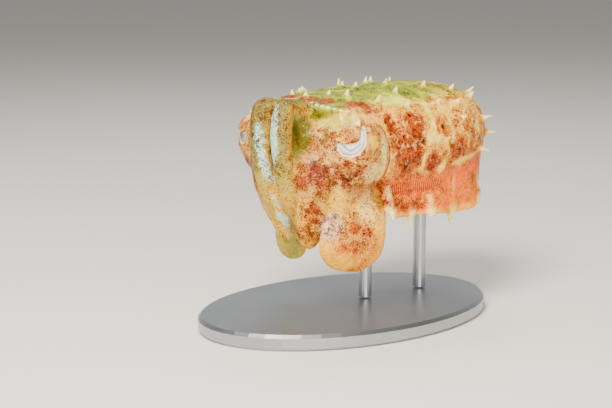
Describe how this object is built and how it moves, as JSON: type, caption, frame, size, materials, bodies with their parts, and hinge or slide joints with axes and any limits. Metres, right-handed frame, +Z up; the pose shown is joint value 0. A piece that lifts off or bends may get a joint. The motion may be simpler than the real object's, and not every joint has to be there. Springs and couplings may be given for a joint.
{
  "type": "cuttlefish",
  "caption": "Life-size small cuttlefish hovering with its arms hanging, its skin raised in soft points, held over a flat oval base by short rods.",
  "frame": {"origin": "centre of the underside of the stand's oval base", "axes": "-X is the way the animal faces, +X its tail, -Y its left side, +Z up"},
  "size_m": [0.0623, 0.042, 0.0458],
  "materials": {
    "skin": "moist mottled skin, red-brown specks over cream",
    "arm_skin": "moist cream skin with orange-red patches and ochre edges",
    "fin": "moist orange-red membrane",
    "eye": "wet, clear cornea over a silvery iris",
    "stand": "satin"
  },
  "bodies": {
    "root": {"arm_first_left_base": "arm_skin", "arm_first_left_middle": "arm_skin", "arm_first_left_tip": "arm_skin", "arm_first_right_base": "arm_skin", "arm_first_right_middle": "arm_skin", "arm_first_right_tip": "arm_skin", "arm_fourth_left_base": "arm_skin", "arm_fourth_left_tip": "arm_skin", "arm_fourth_right_base": "arm_skin", "arm_fourth_right_tip": "arm_skin", "arm_second_left_base": "arm_skin", "arm_second_left_tip": "arm_skin", "arm_second_right_base": "arm_skin", "arm_second_right_tip": "arm_skin", "arm_third_left_base": "arm_skin", "arm_third_left_tip": "arm_skin", "arm_third_right_base": "arm_skin", "arm_third_right_tip": "arm_skin", "eye_left": "eye", "eye_right": "eye", "fin_left": "fin", "fin_right": "fin", "funnel": "arm_skin", "head": "skin", "mantle": "skin", "stand_base": "stand", "stand_rod_front": "stand", "stand_rod_rear": "stand"}
  },
  "joints": []
}
